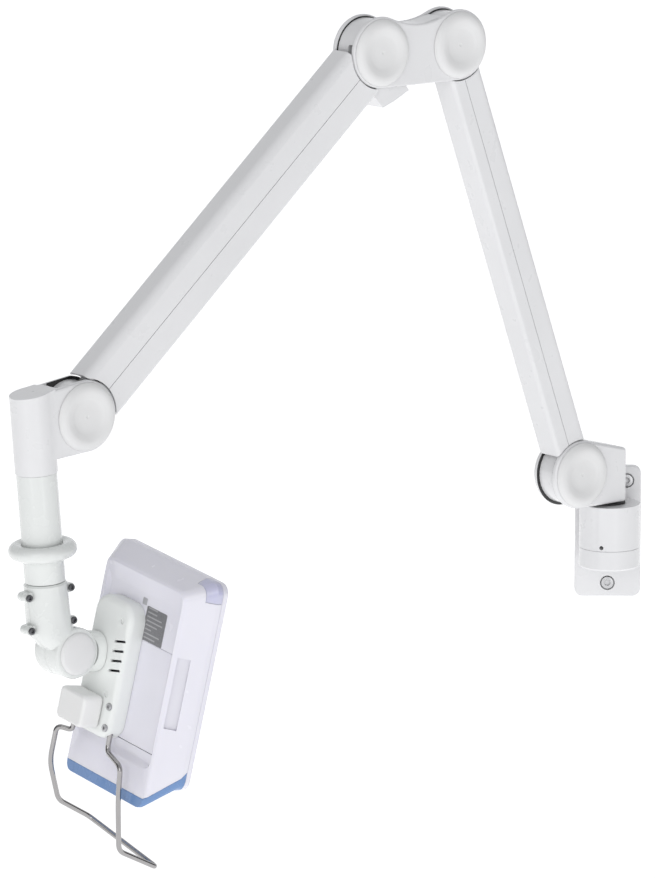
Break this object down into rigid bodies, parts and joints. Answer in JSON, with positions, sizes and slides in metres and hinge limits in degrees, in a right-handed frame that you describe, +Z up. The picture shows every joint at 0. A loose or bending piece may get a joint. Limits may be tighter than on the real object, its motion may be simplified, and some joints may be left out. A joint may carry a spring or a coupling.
{
  "type": "wall mounted monitor arm with display unit",
  "caption": "White two-link balanced wall arm with round hub covers, carrying on a drop tube a small tilting display unit with a wire bail on its back.",
  "frame": {"origin": "middle of the wall plate's back face, on the wall plane", "axes": "+Z up, +Y into the wall along the plate's back normal, +X to the right seen from the room"},
  "size_m": [0.7034, 0.5913, 0.8977],
  "materials": {
    "arm_paint": "satin white powder coat",
    "tube_paint": "satin white paint",
    "cap_plastic": "satin white moulding",
    "holder_plastic": "satin off-white moulding",
    "latch_plastic": "satin light grey moulding",
    "monitor_plastic": "semi-gloss white moulding",
    "trim_blue": "semi-gloss blue moulding",
    "lamp_lens": "milky translucent moulding",
    "glass_black": "glossy black screen",
    "board_green": "circuit board",
    "dark_polymer": "black bearing plastic",
    "steel": "bright zinc-plated steel",
    "dark_steel": "blackened steel",
    "chrome": "polished chrome wire"
  },
  "bodies": {
    "bracket": {"wall_bracket": "arm_paint", "barrel_cap": "arm_paint", "swivel_bush": "dark_polymer", "wall_screw_upper_left": "steel", "wall_screw_upper_right": "steel", "wall_screw_lower": "steel"},
    "base_knuckle": {"base_yoke": "arm_paint", "swivel_spindle": "steel", "shoulder_axle": "steel", "base_cap_front": "cap_plastic", "base_cap_rear": "cap_plastic"},
    "lower_arm": {"lower_arm_base_hub": "arm_paint", "lower_arm_elbow_hub": "arm_paint", "lower_arm_upper_shell": "arm_paint", "lower_arm_lower_channel": "arm_paint", "lower_arm_balance_spring": "steel"},
    "lower_rod": {"lower_level_rod": "steel"},
    "elbow": {"elbow_front_cover": "arm_paint", "elbow_rear_cover": "arm_paint", "elbow_core": "arm_paint", "elbow_axle_lower": "steel", "elbow_axle_upper": "steel", "elbow_cap_front_lower": "cap_plastic", "elbow_cap_rear_lower": "cap_plastic", "elbow_cap_front_upper": "cap_plastic", "elbow_cap_rear_upper": "cap_plastic"},
    "forearm": {"forearm_elbow_hub": "arm_paint", "forearm_wrist_hub": "arm_paint", "forearm_upper_shell": "arm_paint", "forearm_lower_channel": "arm_paint", "forearm_balance_spring": "steel"},
    "forearm_rod": {"forearm_level_rod": "steel"},
    "wrist": {"wrist_housing": "arm_paint", "wrist_axle": "steel", "wrist_cap_front": "cap_plastic", "wrist_cap_rear": "cap_plastic"},
    "drop_tube": {"drop_tube": "tube_paint", "ring_handle": "tube_paint", "neck_front_half": "tube_paint", "neck_rear_half": "tube_paint", "neck_screw_1": "dark_steel", "neck_screw_2": "dark_steel", "neck_screw_3": "dark_steel", "neck_screw_4": "dark_steel", "tilt_axle": "steel", "tilt_cap_front": "cap_plastic", "tilt_cap_rear": "cap_plastic"},
    "monitor": {"tilt_tongue": "holder_plastic", "holder_shell": "holder_plastic", "bail_clamp_block": "latch_plastic", "holder_screw_1": "steel", "holder_screw_2": "steel", "wire_bail": "chrome", "monitor_rear_shell": "monitor_plastic", "monitor_bottom_trim": "trim_blue", "corner_lamp": "lamp_lens", "battery_hatch": "monitor_plastic", "monitor_front_frame": "monitor_plastic", "lcd_screen": "glass_black", "main_board": "board_green"}
  },
  "joints": [
    {"name": "base_swivel", "type": "hinge", "parent": "bracket", "child": "base_knuckle", "pos_m": [0, -0.052, 0.02], "axis": [0, 0, 1], "range_deg": [-20, 100]},
    {"name": "lower_arm_lift", "type": "hinge", "parent": "base_knuckle", "child": "lower_arm", "pos_m": [-0.04686, -0.08947, 0.085], "axis": [-0.6244, 0.7811, 0], "range_deg": [-48, 1.5]},
    {"name": "lower_rod_swing", "type": "hinge", "parent": "base_knuckle", "child": "lower_rod", "pos_m": [-0.03743, -0.08192, 0.0955], "axis": [-0.6244, 0.7811, 0], "range_deg": [-48, 1.5]},
    {"name": "elbow_level", "type": "hinge", "parent": "lower_arm", "child": "elbow", "pos_m": [-0.19057, -0.20435, 0.59269], "axis": [-0.6244, 0.7811, 0], "range_deg": [-1.5, 48]},
    {"name": "forearm_lift", "type": "hinge", "parent": "elbow", "child": "forearm", "pos_m": [-0.27704, -0.27347, 0.59269], "axis": [-0.6244, 0.7811, 0], "range_deg": [-19, 60]},
    {"name": "forearm_rod_swing", "type": "hinge", "parent": "elbow", "child": "forearm_rod", "pos_m": [-0.28302, -0.27825, 0.61117], "axis": [-0.6244, 0.7811, 0], "range_deg": [-19, 60]},
    {"name": "wrist_level", "type": "hinge", "parent": "forearm", "child": "wrist", "pos_m": [-0.59308, -0.52613, 0.23509], "axis": [-0.6244, 0.7811, 0], "range_deg": [-60, 19]},
    {"name": "drop_tube_swivel", "type": "hinge", "parent": "wrist", "child": "drop_tube", "pos_m": [-0.63745, -0.5616, 0.23036], "axis": [-0.0648, -0.0518, 0.9966], "range_deg": [-150, 150]},
    {"name": "display_tilt", "type": "hinge", "parent": "drop_tube", "child": "monitor", "pos_m": [-0.60534, -0.53593, -0.0211], "axis": [0.6244, -0.7811, 0], "range_deg": [-20, 20]}
  ],
  "couplings": [
    {"joint": "lower_rod_swing", "follows": "lower_arm_lift", "ratio": 1},
    {"joint": "elbow_level", "follows": "lower_arm_lift", "ratio": -1},
    {"joint": "forearm_rod_swing", "follows": "forearm_lift", "ratio": 1},
    {"joint": "wrist_level", "follows": "forearm_lift", "ratio": -1}
  ]
}
